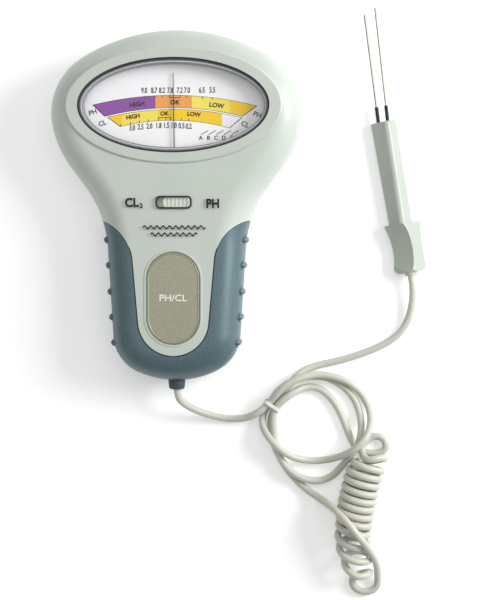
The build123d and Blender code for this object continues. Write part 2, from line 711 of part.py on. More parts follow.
with BuildPart() as lead_wires:
    for side in (-1, 1):
        route = [(side * 0.9, ENTRY_Y, PARTING_Z), (side * 0.9, -83, PARTING_Z),
                 (side * 4.0, -75, PARTING_Z), (side * 5.5, -68, BOARD_Z - 0.5)]
        wire, _ = tube(route, 0.9, 4.0)
        add(wire)
write(lead_wires.part, "lead_wires")

# ---------------------------------------------------------------- free cord
# Routes of the cord's uncoiled stretches, as corner points of straight runs. Four strands pass
# through the tie, two on two. The cord runs: tester, first loop, second loop, feed to the coil,
# coil, tail back through the tie, and the run to the probe.
TIE = (46.7, -115.8)
LEAD_ROUTE = [
    (0.0, -103.5, 14.5), (0.0, -111.0, 14.5), (3.4, -115.0, 11.4), (9.2, -118.6, 7.2),
    (16.2, -121.2, 3.8), (24.6, -123.0, 2.2), (33.0, -122.6, 3.8), (40.0, -119.4, 6.8),
    (45.1, -114.7, 6.5), (49.0, -110.0, 9.5), (53.8, -105.2, 10.1), (60.6, -101.8, 9.4),
    (68.6, -100.1, 6.4), (76.8, -101.0, 5.6), (84.9, -104.2, 4.0), (91.0, -109.6, 2.0),
    (94.8, -116.6, 3.0), (96.0, -124.0, 7.2), (93.8, -130.8, 12.2), (88.4, -136.6, 13.4),
    (81.2, -140.6, 8.9), (72.6, -143.2, 3.2), (64.2, -143.4, 3.2), (56.4, -141.4, 7.4),
    (50.4, -137.0, 9.8), (45.4, -132.0, 9.2), (41.8, -126.6, 5.4), (41.6, -120.4, 2.7),
    (45.1, -114.7, 2.5), (47.1, -111.7, 2.2),
]
LOOP_ROUTE = [
    (47.1, -111.7, 2.2), (49.1, -108.7, 1.9), (55.4, -104.1, 1.8), (63.2, -101.4, 1.8),
    (71.4, -101.2, 1.8), (79.4, -104.4, 1.8), (85.9, -110.0, 1.8), (89.8, -117.6, 2.0),
    (91.2, -125.6, 4.6), (90.2, -133.0, 8.8), (86.9, -138.8, 8.6), (81.6, -145.6, 2.5),
    (76.8, -151.2, 2.0), (69.8, -154.0, 2.6), (61.8, -152.4, 5.0), (55.0, -148.2, 5.8),
    (50.6, -142.0, 5.8), (48.3, -135.2, 5.7), (47.6, -128.4, 5.7), (47.3, -121.8, 6.2),
    (48.3, -116.9, 6.4), (50.75, -114.65, 6.9),
]
FEED_ROUTE = [
    (50.75, -114.65, 6.9), (53.0, -112.4, 7.8), (57.6, -109.0, 7.0), (62.8, -106.6, 3.2),
    (69.4, -106.8, 1.8), (76.0, -112.0, 1.8), (80.9, -120.0, 1.8), (84.0, -128.4, 1.8),
    (86.8, -135.0, 1.8), (91.0, -138.9, 1.8),
]
TAIL_ROUTE = [
    (99.3, -203.0, 2.6), (99.1, -197.4, 6.0), (98.4, -192.3, 10.6), (95.9, -187.4, 14.4),
    (93.2, -183.0, 17.8), (89.2, -178.0, 20.0), (85.2, -172.6, 20.4), (80.8, -168.4, 18.2),
    (76.6, -165.4, 12.8), (71.8, -162.8, 7.0), (66.2, -159.6, 3.0), (59.9, -154.8, 1.9),
    (54.0, -148.2, 1.8), (49.6, -141.2, 1.8), (46.8, -134.0, 1.8), (45.4, -127.4, 1.8),
    (46.0, -121.6, 1.9), (48.3, -116.9, 2.5), (49.75, -114.7, 2.95),
]
PROBE_ROUTE = [
    (49.75, -114.7, 2.95), (51.2, -112.5, 3.4), (54.0, -107.2, 5.6), (57.6, -102.2, 6.0),
    (62.8, -98.0, 4.0), (69.8, -95.6, 1.9), (78.0, -94.0, 1.8), (87.8, -91.2, 1.8),
    (98.8, -87.2, 1.8), (108.6, -81.6, 1.8), (114.0, -73.8, 2.4), (116.0, -65.2, 3.8),
    (116.4, -58.2, 5.0), (115.62, -52.03, 5.3), (114.77, -47.1, 5.3),
]


def bend_radii(points):
    """The largest arc each corner has room for: 0.45 of its shorter run."""
    corners = [Vector(point) for point in points]
    radii = []
    for before, here, after in zip(corners, corners[1:], corners[2:]):
        turn = (here - before).get_angle(after - here)
        run = min((here - before).length, (after - here).length)
        radii.append(0.45 * run / tan(radians(turn / 2)))
    return radii


CORD_AREA = pi * CORD_D ** 2 / 4
cord_total = ENTRY_Y - ENTRY_END_Y
for cord_name, route in [("cord_lead", LEAD_ROUTE), ("cord_loop", LOOP_ROUTE), ("cord_feed", FEED_ROUTE),
                         ("cord_tail", TAIL_ROUTE), ("cord_probe_run", PROBE_ROUTE)]:
    radii = bend_radii(route)
    stretch, stretch_length = tube(route, CORD_D, radii)
    write(stretch, cord_name)
    cord_total += stretch_length
    print(cord_name, "length", round(stretch_length, 1), "tightest", round(min(radii), 1), "radii",
          [round(radius) for radius in radii], "volume ratio",
          round(stretch.volume / (CORD_AREA * stretch_length), 3), "valid", stretch.is_valid)

# The coil's outer shape: centre line and radius of a lying spring, narrow where it begins and ends.
COIL_SHAPE = [
    ((98.4, -132.6, 4.2), 3.4), ((98.2, -137.4, 5.6), 4.4), ((97.0, -141.6, 6.8), 5.2),
    ((94.9, -145.4, 7.9), 6.6), ((92.4, -149.0, 8.7), 8.3), ((90.7, -153.4, 8.9), 8.85),
    ((88.9, -161.2, 8.9), 8.85), ((87.4, -169.2, 8.9), 8.85), ((86.7, -177.4, 8.9), 8.85),
    ((86.3, -184.4, 8.9), 8.8), ((87.0, -190.6, 8.7), 8.6), ((88.8, -197.6, 8.0), 7.8),
    ((90.5, -203.8, 5.4), 5.2), ((91.4, -208.0, 3.2), 3.0),
]
with BuildPart() as cord_coil:
    for index, (centre, radius) in enumerate(COIL_SHAPE):
        ahead = Vector(COIL_SHAPE[min(index + 1, len(COIL_SHAPE) - 1)][0])
        behind = Vector(COIL_SHAPE[max(index - 1, 0)][0])
        with BuildSketch(Plane(centre, x_dir=(0, 0, 1), z_dir=ahead - behind)):
            Circle(radius)
    loft(ruled=True)
write(cord_coil.part, "cord_coil")

# The tie: a flat band round the four strands.
TIE_W, TIE_H, TIE_T, TIE_L = 9.6, 9.4, 0.5, 1.7
tie_plane = Plane((TIE[0], TIE[1], 0.04 + TIE_H / 2), x_dir=(0.83, -0.55, 0), z_dir=(0.55, 0.83, 0))
with BuildPart() as cord_tie:
    with BuildSketch(tie_plane.offset(-TIE_L / 2)):
        RectangleRounded(TIE_W, TIE_H, 2.3)
        RectangleRounded(TIE_W - 2 * TIE_T, TIE_H - 2 * TIE_T, 1.8, mode=Mode.SUBTRACT)
    extrude(amount=TIE_L)
write(cord_tie.part, "cord_tie")

# ---------------------------------------------------------------- probe
# The probe lies on its flat underside. Its own frame starts at the collar's cord end, with +Y
# along the probe towards the electrodes.
PROBE_END = (115.0, -49.6, 0)
PROBE_TURN = 9.85
COLLAR_L, GRIP_L = 24.5, 51.0
GRIP_END = COLLAR_L + GRIP_L
SOCKET_L = 7.0
CORD_X, CORD_Z = 0.2, 5.3
ELECTRODE_Z = 4.2
CHAMBER_R = 3.0
CHAMBER_X = -1.1
BUSH_R, BUSH_END_Y = 3.1, 4.0
SLEEVE_R, ELECTRODE_R = 0.9, 0.5
SLEEVE_OUT = 7.7
# Across, end and lean of each electrode; the silver one is the left.
ELECTRODES = [("electrode_silver", -3.0, 129.1, -2.4), ("electrode_copper", 1.6, 131.6, -3.4)]
probe_place = Location(PROBE_END, (0, 0, PROBE_TURN))


def put(piece, name):
    """Lay a piece of the probe in its place and write it."""
    write(piece.moved(probe_place), name)


def bar_section(y, left, right, eave, ridge_x, ridge_z):
    """Flat below, upright sides and one ridge, at a distance along the probe."""
    with BuildSketch(Plane.XZ.offset(-y)) as section:
        with BuildLine():
            Polyline((-left, 0), (right, 0), (right, eave), (ridge_x, ridge_z), (-left, eave),
                     close=True)
        make_face()
    return section.sketch


def rounded_bar(low, high, side_r, ridge_r):
    """A bar between two sections with every long edge rounded."""
    with BuildPart() as bar:
        add(low)
        add(high)
        loft(ruled=True)
        long_edges = bar.edges().filter_by(lambda e: abs((e % 0.5).Y) > 0.9)
        ridge = long_edges.sort_by(Axis.Z)[-1]
        eaves = long_edges.filter_by(lambda e: e.center().Z > 1).sort_by(Axis.Z)[:-1]
        fillet(eaves, side_r)
        ridge = bar.edges().filter_by(lambda e: abs((e % 0.5).Y) > 0.9).sort_by(Axis.Z)[-1]
        fillet(ridge, ridge_r)
        feet = bar.edges().filter_by(lambda e: abs((e % 0.5).Y) > 0.9 and e.center().Z < 0.1)
        fillet(feet, 1.2)
    return bar.part


probe_bar = rounded_bar(bar_section(COLLAR_L - SOCKET_L, 6.4, 5.0, 4.4, 0.0, 10.6),
                        bar_section(GRIP_END, 6.9, 5.6, 4.4, 1.5, 10.8), 1.8, 2.6)
with BuildPart() as probe_handle:
    add(probe_bar)
    fillet(probe_handle.faces().sort_by(Axis.Y)[-1].edges(), 0.9)
    with BuildSketch(Plane.XZ.offset(-(COLLAR_L - SOCKET_L - 1))):
        with Locations((CHAMBER_X, ELECTRODE_Z)):
            Circle(CHAMBER_R)
    extrude(amount=-(SOCKET_L + GRIP_L - 3), mode=Mode.SUBTRACT)
    with BuildSketch(Plane.XZ.offset(-(GRIP_END + 2))):
        with Locations([(across, ELECTRODE_Z) for _, across, _, _ in ELECTRODES]):
            Circle(SLEEVE_R + 0.3)
    extrude(amount=10, mode=Mode.SUBTRACT)
put(probe_handle.part, "probe_handle")

collar_bar = rounded_bar(bar_section(0, 7.9, 8.2, 4.8, 1.1, 12.2),
                         bar_section(COLLAR_L, 8.9, 9.0, 5.2, 0.3, 13.5), 1.8, 2.2)
# One broad scoop hollows the left face, deepest at the ridge.
SCOOP_R = 28.0
SCOOP_MID = (-2.5, 11.0, 7.3)
SCOOP_LEAN = 29.4
# Seen from above the collar is waisted, with round corners at its cord end.
with BuildSketch() as collar_plan:
    with BuildLine():
        waist = ThreePointArc((-9.2, COLLAR_L + 0.1), (-6.7, 11.0), (-7.7, 3.0))
        left_heel = RadiusArc(waist @ 1, (-5.0, 0), -2.9)
        heel_line = Line(left_heel @ 1, (5.4, 0))
        right_heel = RadiusArc(heel_line @ 1, (8.2, 3.0), -2.9)
        flank = ThreePointArc(right_heel @ 1, (8.0, 11.0), (9.3, COLLAR_L + 0.1))
        Line(flank @ 1, waist @ 0)
    make_face()
with BuildSketch(Plane.YZ.offset(-12)) as collar_side:
    with BuildLine():
        Line((COLLAR_L, -1), (0, -1))
        Line((0, -1), (0, 8.6))
        RadiusArc((0, 8.6), (3.4, 12.6), 4.2)
        Line((3.4, 12.6), (COLLAR_L, 14.5))
        Line((COLLAR_L, 14.5), (COLLAR_L, -1))
    make_face()
with BuildPart() as probe_collar:
    add(collar_bar)
    extrude(collar_plan.sketch, amount=20, mode=Mode.INTERSECT)
    extrude(collar_side.sketch, amount=24, mode=Mode.INTERSECT)
    away = Vector(-sin(radians(SCOOP_LEAN)), 0, cos(radians(SCOOP_LEAN)))
    scoop_plane = Plane(Vector(SCOOP_MID) + away * SCOOP_R, x_dir=(0, 1, 0),
                        z_dir=away.cross(Vector(0, 1, 0)))
    with BuildSketch(scoop_plane.offset(-30)):
        Circle(SCOOP_R)
    extrude(amount=60, mode=Mode.SUBTRACT)
    add(probe_bar, mode=Mode.SUBTRACT)
    with BuildSketch(Plane.XZ.offset(1)):
        with Locations((CORD_X, CORD_Z)):
            Circle(BUSH_R)
    extrude(amount=-(BUSH_END_Y + 1), mode=Mode.SUBTRACT)
    with BuildSketch(Plane.XZ.offset(1)):
        with Locations((CORD_X, CORD_Z)):
            Circle(CORD_D / 2 + 0.2)
    extrude(amount=-30, mode=Mode.SUBTRACT)
put(probe_collar.part, "probe_collar")

with BuildPart() as cord_bush:
    with BuildSketch(Plane.XZ.offset(1.6)):
        with Locations((CORD_X, CORD_Z)):
            Circle(BUSH_R)
    extrude(amount=-(BUSH_END_Y + 1.6))
    fillet(cord_bush.edges().sort_by(Axis.Y)[0], 0.8)
    with BuildSketch(Plane.XZ.offset(3)):
        with Locations((CORD_X, CORD_Z)):
            Circle(CORD_D / 2 + 0.04)
    extrude(amount=-12, mode=Mode.SUBTRACT)
put(cord_bush.part, "cord_bush")

CARRIER_END_Y = GRIP_END - 4.6
with BuildPart() as electrode_carrier:
    with BuildSketch(Plane.XZ.offset(-(CARRIER_END_Y - 9))):
        with Locations((CHAMBER_X, ELECTRODE_Z)):
            Circle(CHAMBER_R)
    extrude(amount=-9)


def rod(across, lean, start_y, end_y, outer_r, inner_r=0.0):
    """A round rod or sleeve along one electrode's own leaning axis."""
    start = Vector(across, GRIP_END, ELECTRODE_Z)
    along = Vector(-sin(radians(lean)), cos(radians(lean)), 0)
    base = Plane(start + along * (start_y - GRIP_END), x_dir=(0, 0, 1), z_dir=along)
    with BuildPart() as one:
        with BuildSketch(base):
            Circle(outer_r)
            if inner_r:
                Circle(inner_r, mode=Mode.SUBTRACT)
        extrude(amount=end_y - start_y)
    return one.part


with BuildPart() as bores:
    for _, across, _, lean in ELECTRODES:
        add(rod(across, lean, CARRIER_END_Y - 12, GRIP_END + 1, ELECTRODE_R))
put(electrode_carrier.part - bores.part, "electrode_carrier")

with BuildPart() as electrode_sleeves:
    for _, across, _, lean in ELECTRODES:
        add(rod(across, lean, CARRIER_END_Y + 0.1, GRIP_END + SLEEVE_OUT, SLEEVE_R, ELECTRODE_R))
put(electrode_sleeves.part, "electrode_sleeves")

for name, across, tip_y, lean in ELECTRODES:
    electrode = rod(across, lean, CARRIER_END_Y - 9, tip_y, ELECTRODE_R)
    tip = electrode.edges().sort_by(Axis.Y)[-1]
    put(electrode.fillet(ELECTRODE_R * 0.6, [tip]), name)

with BuildPart() as probe_wires:
    for side, (_, across, _, lean) in zip((-1, 1), ELECTRODES):
        plug = Vector(across, GRIP_END, ELECTRODE_Z)
        plug -= Vector(-sin(radians(lean)), cos(radians(lean)), 0) * (GRIP_END - CARRIER_END_Y + 9.1)
        route = [(CORD_X + side * 0.9, 2.5, CORD_Z), (CORD_X + side * 0.9, 18.5, CORD_Z),
                 (CHAMBER_X + side * 1.5, 28, ELECTRODE_Z), (plug.X, plug.Y - 12, ELECTRODE_Z),
                 (plug.X, plug.Y, ELECTRODE_Z)]
        wire, _ = tube(route, 0.9, 4.0)
        add(wire)
put(probe_wires.part, "probe_wires")

print("cord total", round(cord_total))
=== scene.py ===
"""Digital water tester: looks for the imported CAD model.

Lengths below are in millimetres and are turned into metres by MM, in the frame of the CAD model.
"""
import json
from math import cos, pi, radians, sin, sqrt

import bmesh
import bpy
from mathutils import Matrix, Vector


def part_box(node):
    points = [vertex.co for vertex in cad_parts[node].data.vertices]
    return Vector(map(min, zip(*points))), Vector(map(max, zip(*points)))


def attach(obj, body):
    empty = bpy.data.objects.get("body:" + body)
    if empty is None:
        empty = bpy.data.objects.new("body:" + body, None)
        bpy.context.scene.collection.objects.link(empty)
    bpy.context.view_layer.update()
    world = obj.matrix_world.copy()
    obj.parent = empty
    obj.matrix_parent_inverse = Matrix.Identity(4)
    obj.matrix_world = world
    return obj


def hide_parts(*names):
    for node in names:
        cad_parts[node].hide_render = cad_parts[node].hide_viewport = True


MM = 0.001
UP = Vector((0, 0, 1))
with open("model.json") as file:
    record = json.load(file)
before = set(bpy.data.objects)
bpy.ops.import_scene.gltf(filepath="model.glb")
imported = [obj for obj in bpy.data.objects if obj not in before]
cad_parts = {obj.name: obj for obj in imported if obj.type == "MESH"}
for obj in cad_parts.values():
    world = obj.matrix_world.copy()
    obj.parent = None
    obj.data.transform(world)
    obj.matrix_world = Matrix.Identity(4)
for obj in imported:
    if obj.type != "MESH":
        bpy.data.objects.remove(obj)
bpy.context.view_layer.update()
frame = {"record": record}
slot_of = {part["node"]: part["material_slot"] for part in frame["record"]["subparts"]}


# ---------------------------------------------------------------- materials
def new_material(name, colour, roughness, metallic=0.0, specular=0.5):
    """A principled material with its constants on the shader's own sockets."""
    material = bpy.data.materials.new(name)
    material.use_nodes = True
    shader = material.node_tree.nodes["Principled BSDF"]
    shader.inputs["Base Color"].default_value = (*colour, 1)
    shader.inputs["Roughness"].default_value = roughness
    shader.inputs["Metallic"].default_value = metallic
    shader.inputs["Specular IOR Level"].default_value = specular
    material.diffuse_color = (*colour, 1)
    return material


def noise(material, scale, detail=4.0, stretch=(1, 1, 1)):
    """Object-space noise, so that the grain stays with the piece."""
    nodes, links = material.node_tree.nodes, material.node_tree.links
    place = nodes.new("ShaderNodeTexCoord")
    mapping = nodes.new("ShaderNodeMapping")
    mapping.inputs["Scale"].default_value = stretch
    grain = nodes.new("ShaderNodeTexNoise")
    grain.inputs["Scale"].default_value = scale
    grain.inputs["Detail"].default_value = detail
    links.new(place.outputs["Object"], mapping.inputs["Vector"])
    links.new(mapping.outputs["Vector"], grain.inputs["Vector"])
    return grain


def add_bump(material, grain, strength, distance):
    """Raise the surface by a texture."""
    nodes, links = material.node_tree.nodes, material.node_tree.links
    bump = nodes.new("ShaderNodeBump")
    bump.inputs["Strength"].default_value = strength
    bump.inputs["Distance"].default_value = distance
    links.new(grain.outputs[0], bump.inputs["Height"])
    links.new(bump.outputs["Normal"], nodes["Principled BSDF"].inputs["Normal"])


def add_variation(material, grain, dark, light, low=0.35, high=0.65):
    """Let the colour wander between two tones."""
    nodes, links = material.node_tree.nodes, material.node_tree.links
    ramp = nodes.new("ShaderNodeValToRGB")
    ramp.color_ramp.elements[0].position = low
    ramp.color_ramp.elements[0].color = (*dark, 1)
    ramp.color_ramp.elements[1].position = high
    ramp.color_ramp.elements[1].color = (*light, 1)
    links.new(grain.outputs[0], ramp.inputs["Fac"])
    links.new(ramp.outputs["Color"], nodes["Principled BSDF"].inputs["Base Color"])


def shade(colour, factor):
    """A darker or lighter version of a colour."""
    return tuple(min(1.0, channel * factor) for channel in colour)


def moulded(name, colour, roughness, grain_scale=900, bump=0.08, variation=0.05, coat=0.0):
    """Moulded plastic or rubber: fine pitted texture and a faint cloud in the colour."""
    material = new_material(name, colour, roughness)
    add_bump(material, noise(material, grain_scale, 5), bump, 0.0002)
    cloud = noise(material, 45, 3)
    add_variation(material, cloud, shade(colour, 1 - variation), shade(colour, 1 + variation))
    shader = material.node_tree.nodes["Principled BSDF"]
    shader.inputs["Coat Weight"].default_value = coat
    shader.inputs["Coat Roughness"].default_value = 0.25
    return material


def metal(name, colour, roughness, stretch=(1, 1, 1)):
    """Metal with a fine scratched or drawn grain."""
    material = new_material(name, colour, roughness, metallic=1.0)
    add_bump(material, noise(material, 700, 4, stretch), 0.12, 0.0001)
    add_variation(material, noise(material, 250, 3, stretch), shade(colour, 0.9), shade(colour, 1.08))
    return material


def speckled(name, colour, roughness):
    """Soft-touch rubber with a fine bright speckle."""
    material = new_material(name, colour, roughness, metallic=0.25, specular=0.7)
    add_bump(material, noise(material, 1300, 5), 0.22, 0.0002)
    speckle = noise(material, 1700, 3)
    add_variation(material, speckle, shade(colour, 0.80), shade(colour, 1.28), 0.3, 0.7)
    return material


materials = {
    "housing": moulded("housing", (0.53, 0.58, 0.525), 0.42, 1500, 0.05, 0.02, 0.15),
    "grip": speckled("grip", (0.085, 0.140, 0.160), 0.42),
    "gasket": moulded("gasket", (0.012, 0.012, 0.013), 0.45),
    "surround": moulded("surround", (0.30, 0.31, 0.33), 0.35, 1200, 0.05, 0.05),
    "dial": moulded("dial", (0.96, 0.96, 0.98), 0.55, 1500, 0.02, 0.01),
    "screws": metal("screws", (0.52, 0.53, 0.54), 0.3),
    "movement_plastic": moulded("movement_plastic", (0.03, 0.03, 0.034), 0.5),
    "iron": metal("iron", (0.32, 0.32, 0.33), 0.5),
    "magnet": metal("magnet", (0.42, 0.42, 0.43), 0.28),
    "brass": metal("brass", (0.72, 0.52, 0.20), 0.3),
    "aluminium": metal("aluminium", (0.76, 0.76, 0.77), 0.35),
    "copper_wire": metal("copper_wire", (0.55, 0.20, 0.08), 0.35, (1, 1, 30)),
    "needle": moulded("needle", (0.012, 0.012, 0.014), 0.4),
    "bronze": metal("bronze", (0.60, 0.38, 0.16), 0.32),
    "board": moulded("board", (0.02, 0.16, 0.06), 0.35),
    "switch_metal": metal("switch_metal", (0.62, 0.62, 0.60), 0.32),
    "slider": moulded("slider", (0.74, 0.76, 0.67), 0.45, 1400, 0.06, 0.04),
    "trimmer": moulded("trimmer", (0.02, 0.09, 0.35), 0.4),
    "resistor": moulded("resistor", (0.50, 0.38, 0.20), 0.5),
    "relief": moulded("relief", (0.045, 0.07, 0.09), 0.5, 1100, 0.1, 0.08),
    "cord": moulded("cord", (0.56, 0.56, 0.485), 0.46, 1600, 0.10, 0.04, 0.08),
    "wire": moulded("wire", (0.40, 0.03, 0.02), 0.45),
    "tie": moulded("tie", (0.78, 0.78, 0.70), 0.4),
    "probe": moulded("probe", (0.44, 0.48, 0.425), 0.40, 1500, 0.05, 0.02, 0.15),
    "sleeve": moulded("sleeve", (0.006, 0.006, 0.007), 0.6),
    "silver": metal("silver", (0.31, 0.30, 0.27), 0.45),
    "copper_nickel": metal("copper_nickel", (0.33, 0.31, 0.25), 0.45),
}
materials["coil"] = materials["cord"]


def badge_foil():
    """Khaki metallic foil with a fine sparkle."""
    material = new_material("badge", (0.36, 0.36, 0.26), 0.42, metallic=0.55)
    add_bump(material, noise(material, 1100, 6), 0.15, 0.0001)
    add_variation(material, noise(material, 1500, 4), (0.31, 0.32, 0.23), (0.43, 0.42, 0.31), 0.3, 0.7)
    return material


def clear_lens():
    """Thin clear plastic, mostly see-through with a gloss."""
    material = new_material("lens", (0.95, 0.97, 0.97), 0.03)
    shader = material.node_tree.nodes["Principled BSDF"]
    shader.inputs["Alpha"].default_value = 0.025
    shader.inputs["IOR"].default_value = 1.45
    add_bump(material, noise(material, 6, 1), 0.01, 0.0002)
    material.surface_render_method = "BLENDED"
    return material


materials["badge"] = badge_foil()
materials["lens"] = clear_lens()
for node, slot_name in slot_of.items():
    piece = bpy.data.objects[node]
    for material_slot in piece.material_slots:
        material_slot.material = materials[slot_name]


def flat_ink(name, colour, roughness=0.7):
    """Printed ink: even colour with a trace of screen-print mottle."""
    material = new_material(name, colour, roughness, specular=0.15)
    add_variation(material, noise(material, 1200, 2), shade(colour, 0.96), shade(colour, 1.03))
    return material


# ---------------------------------------------------------------- camera, floor and light
VIEW_SIDE, VIEW_TOP = radians(4.4), radians(1.5)
CAMERA_AWAY = 1000 * MM
LOOK_AT = Vector((30.19, -63.57, 0)) * MM
LENS, SENSOR = 120, 36
FLOOR_REACH = 3            # metres
FLOOR_GAP = 0.1
FLOOR_GLOW = 0.25
WORLD_GLOW = 0.34


def make_camera():
    """Nearly overhead, a little to the right and towards the top."""
    back = Vector((sin(VIEW_SIDE) * cos(VIEW_TOP), sin(VIEW_TOP), cos(VIEW_SIDE) * cos(VIEW_TOP)))
    right = Vector((0, 1, 0)).cross(back).normalized()
    up = back.cross(right)
    data = bpy.data.cameras.new("camera")
    data.lens = LENS
    data.sensor_width = SENSOR
    data.clip_start = 0.01
    camera = bpy.data.objects.new("camera", data)
    turn = Matrix((right, up, back)).transposed().to_4x4()
    camera.matrix_world = Matrix.Translation(LOOK_AT + back * CAMERA_AWAY) @ turn
    bpy.context.scene.collection.objects.link(camera)
    bpy.context.scene.camera = camera


def make_floor():
    """A plain pale floor."""
    mesh = bpy.data.meshes.new("floor")
    form = bmesh.new()
    bmesh.ops.create_grid(form, x_segments=4, y_segments=4, size=FLOOR_REACH)
    form.to_mesh(mesh)
    form.free()
    floor = bpy.data.objects.new("floor", mesh)
    floor.location = (0, 0, -FLOOR_GAP * MM)
    paper = new_material("floor_paper", (0.97, 0.97, 0.97), 0.9, specular=0.1)
    shader = paper.node_tree.nodes["Principled BSDF"]
    shader.inputs["Emission Color"].default_value = (1, 1, 1, 1)
    shader.inputs["Emission Strength"].default_value = FLOOR_GLOW
    mesh.materials.append(paper)
    bpy.context.scene.collection.objects.link(floor)


def area_light(name, place, size, power, aim=(30, -60, 0)):
    """A soft square light that faces a point; its size is in metres and its power in watts."""
    data = bpy.data.lights.new(name, "AREA")
    data.shape = "SQUARE"
    data.size = size
    data.energy = power
    light = bpy.data.objects.new(name, data)
    light.location = Vector(place) * MM
    away = (light.location - Vector(aim) * MM).normalized()
    light.rotation_euler = away.to_track_quat("Z", "Y").to_euler()
    bpy.context.scene.collection.objects.link(light)


make_camera()
make_floor()
area_light("key", (840, 200, 470), 0.45, 9.0)
area_light("overhead", (60, 300, 900), 1.0, 2.8)
area_light("fill", (-700, -350, 600), 1.0, 0.5)
world = bpy.data.worlds.new("studio")
world.use_nodes = True
world.node_tree.nodes["Background"].inputs["Color"].default_value = (1, 1, 1, 1)
world.node_tree.nodes["Background"].inputs["Strength"].default_value = WORLD_GLOW
bpy.context.scene.world = world
bpy.context.scene.view_settings.view_transform = "Standard"

# ---------------------------------------------------------------- making a piece
def add_piece(name, mesh, material):
    """Turn a finished mesh into a piece that stays with the tester."""
    mesh.materials.append(material)
    piece = bpy.data.objects.new(name, mesh)
    bpy.context.scene.collection.objects.link(piece)
    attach(piece, "tester")


# ---------------------------------------------------------------- printed dial
DIAL_FACE = 23.2
INK_THICK = 0.03
# Each band lies between two arcs: the centre and radius of its top and of its foot.
UPPER = ((-2.0, -128.4, 165.5), (-1.1, -108.3, 139.1))
LOWER = ((-1.2, -110.4, 140.6), (-1.8, -83.5, 108.2))


def flat_piece(name, loops, height, material):
    """A thin sheet of ink inside closed outlines, standing on a height."""
    mesh = bpy.data.meshes.new(name)
    form = bmesh.new()
    for loop in loops:
        corners = [form.verts.new((x * MM, y * MM, height * MM)) for x, y in loop]
        form.faces.new(corners)
    bmesh.ops.recalc_face_normals(form, faces=form.faces)
    for face in form.faces:
        if face.normal.z < 0:
            face.normal_flip()
    grown = bmesh.ops.extrude_face_region(form, geom=form.faces[:])
    moved = [item for item in grown["geom"] if isinstance(item, bmesh.types.BMVert)]
    bmesh.ops.translate(form, verts=moved, vec=(0, 0, INK_THICK * MM))
    bmesh.ops.recalc_face_normals(form, faces=form.faces)
    form.to_mesh(mesh)
    form.free()
    add_piece(name, mesh, material)


def arc_y(arc, x):
    """Height of an arc at x."""
    cx, cy, radius = arc
    return cy + sqrt(radius ** 2 - (x - cx) ** 2)


def band_middle(arcs, x):
    """Height halfway between a band's two arcs at x."""
    return (arc_y(arcs[0], x) + arc_y(arcs[1], x)) / 2


def band(arcs, left, right, slant_left=0.0, slant_right=0.0, inset=0.0, parts=28):
    """Outline of a stretch of a band, whose ends may slant inwards at the foot."""
    top = []
    foot = []
    for step in range(parts + 1):
        share = step / parts
        x = left + (right - left) * share
        top.append((x, arc_y(arcs[0], x) - inset))
        x = left + slant_left + (right - slant_right - left - slant_left) * share
        foot.append((x, arc_y(arcs[1], x) + inset))
    return top + foot[::-1]


def stroke(start, end, width):
    """A straight printed line."""
    (x0, y0), (x1, y1) = start, end
    length = sqrt((x1 - x0) ** 2 + (y1 - y0) ** 2)
    nx, ny = -(y1 - y0) / length * width / 2, (x1 - x0) / length * width / 2
    return [(x0 + nx, y0 + ny), (x0 - nx, y0 - ny), (x1 - nx, y1 - ny), (x1 + nx, y1 + ny)]


def lettering(name, text, place, size, material, turn=0.0, width=1.0, bold=0.0):
    """Printed characters as a thin mesh, centred on a place."""
    curve = bpy.data.curves.new(name + "_text", "FONT")
    curve.body = text
    curve.size = size * MM
    curve.align_x = "CENTER"
    curve.align_y = "CENTER"
    curve.extrude = INK_THICK / 2 * MM
    curve.offset = bold * MM
    curve.resolution_u = 3
    drawn = bpy.data.objects.new(name + "_drawn", curve)
    bpy.context.scene.collection.objects.link(drawn)
    bpy.context.view_layer.update()
    mesh = bpy.data.meshes.new_from_object(drawn)
    bpy.data.objects.remove(drawn)
    bpy.data.curves.remove(curve)
    turned = Matrix.Translation(Vector(place) * MM) @ Matrix.Rotation(radians(turn), 4, "Z")
    mesh.transform(turned @ Matrix.Diagonal((width, 1, 1, 1)))
    mesh.name = name
    mesh.materials.clear()
    add_piece(name, mesh, material)


ink = flat_ink("ink_black", (0.015, 0.015, 0.02))
purple = flat_ink("ink_purple", (0.27, 0.075, 0.36))
orange = flat_ink("ink_orange", (0.88, 0.36, 0.07))
yellow = flat_ink("ink_yellow", (0.93, 0.62, 0.002))
pale_yellow = flat_ink("ink_pale_yellow", (0.93, 0.76, 0.09))
paper_ink = flat_ink("ink_paper", (0.90, 0.89, 0.95))

INK_Z = DIAL_FACE + 0.02
OVER_Z = INK_Z + 0.04
TEXT_Z = OVER_Z + 0.06
BAND_EDGE = 0.22
flat_piece("band_upper_edge", [band(UPPER, -40.6, 40.5, 6.0, 7.1)], INK_Z, ink)
flat_piece("band_purple", [band(UPPER, -39.9, -9.5, 5.5, 0, BAND_EDGE)], OVER_Z, purple)
flat_piece("band_orange", [band(UPPER, -9.5, 8.4, 0, 0, BAND_EDGE)], OVER_Z, orange)
flat_piece("band_pale", [band(UPPER, 8.4, 27.0, 0, 0, BAND_EDGE)], OVER_Z, pale_yellow)
flat_piece("band_yellow", [band(UPPER, 27.0, 39.7, 0, 6.5, BAND_EDGE)], OVER_Z, yellow)
flat_piece("band_lower_edge", [band(LOWER, -33.4, 33.3, 6.5, 6.3)], INK_Z, ink)
flat_piece("band_lower_left", [band(LOWER, -32.7, -26.0, 6.0, 0, BAND_EDGE)], OVER_Z, yellow)
flat_piece("band_caution", [band(LOWER, -26.0, -8.4, 0, 0, BAND_EDGE)], OVER_Z, pale_yellow)
flat_piece("band_lower_right", [band(LOWER, -8.4, 23.2, 0, 0, BAND_EDGE)], OVER_Z, yellow)
